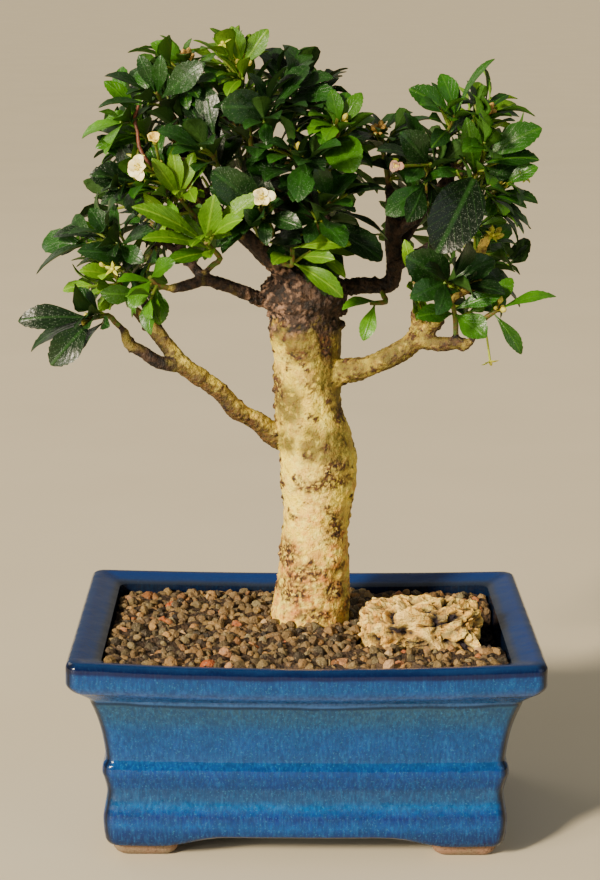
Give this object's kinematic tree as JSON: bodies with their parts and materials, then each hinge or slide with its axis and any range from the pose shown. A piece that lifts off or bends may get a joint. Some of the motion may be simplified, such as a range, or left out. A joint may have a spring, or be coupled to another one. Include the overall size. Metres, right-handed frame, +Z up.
{
  "type": "potted fukien tea bonsai",
  "caption": "Small Fukien tea bonsai with knobbly pale trunk and leafy crown, in a rectangular blue glazed pot with gravel and a stone.",
  "frame": {"origin": "middle of the whole plant's box in plan, on the surface that the pot's feet stand on", "axes": "+Z up, +X to the viewer's right along the pot's long side, -Y toward the viewer, so that the rock lies in front of and to the right of the trunk"},
  "size_m": [0.2314, 0.1592, 0.3541],
  "materials": {
    "glaze": "gloss",
    "soil": "matte",
    "gravel": "matte",
    "rock": "matte",
    "bark": "matte",
    "screen": "matte",
    "mature_leaf": "satin",
    "green_leaf": "satin",
    "young_leaf": "satin",
    "petal": "matte"
  },
  "bodies": {
    "root": {"drain_mesh_left": "screen", "drain_mesh_right": "screen", "flower_centre_bloom_1": "petal", "flower_left_bloom_1": "petal", "flower_left_bloom_2": "petal", "flower_right_dark_1": "petal", "gravel": "gravel", "pot": "glaze", "rock": "rock", "shoot_back_centre_low": "mature_leaf", "shoot_back_crown": "young_leaf", "shoot_back_crown_right": "mature_leaf", "shoot_back_left_crown": "green_leaf", "shoot_back_left_low": "green_leaf", "shoot_back_left_shoulder": "mature_leaf", "shoot_back_left_wing": "mature_leaf", "shoot_back_middle_high": "mature_leaf", "shoot_back_middle_low": "green_leaf", "shoot_back_right_shoulder": "green_leaf", "shoot_burl_leaves": "young_leaf", "shoot_centre_bloom": "mature_leaf", "shoot_centre_dark": "mature_leaf", "shoot_centre_fill": "mature_leaf", "shoot_crown_face": "mature_leaf", "shoot_crown_fill": "mature_leaf", "shoot_crown_left": "green_leaf", "shoot_crown_right": "green_leaf", "shoot_crown_slope": "mature_leaf", "shoot_crown_top": "young_leaf", "shoot_far_left": "mature_leaf", "shoot_far_right": "green_leaf", "shoot_hanging": "green_leaf", "shoot_left_bloom": "green_leaf", "shoot_left_crown": "mature_leaf", "shoot_left_fill": "mature_leaf", "shoot_left_low": "young_leaf", "shoot_left_shoulder": "mature_leaf", "shoot_left_under": "green_leaf", "shoot_left_upper": "green_leaf", "shoot_left_wing": "mature_leaf", "shoot_lime_hub": "young_leaf", "shoot_lime_upright": "young_leaf", "shoot_right_back_crown": "young_leaf", "shoot_right_back_inner": "green_leaf", "shoot_right_back_low": "mature_leaf", "shoot_right_back_middle": "mature_leaf", "shoot_right_crown": "green_leaf", "shoot_right_dark": "mature_leaf", "shoot_right_face": "mature_leaf", "shoot_right_gloss": "green_leaf", "shoot_right_round": "mature_leaf", "shoot_right_star": "green_leaf", "shoot_right_tail": "green_leaf", "shoot_right_top": "green_leaf", "shoot_right_upright": "young_leaf", "shoot_right_wing": "green_leaf", "shoot_valley": "mature_leaf", "soil": "soil", "trunk": "bark"}
  },
  "joints": []
}
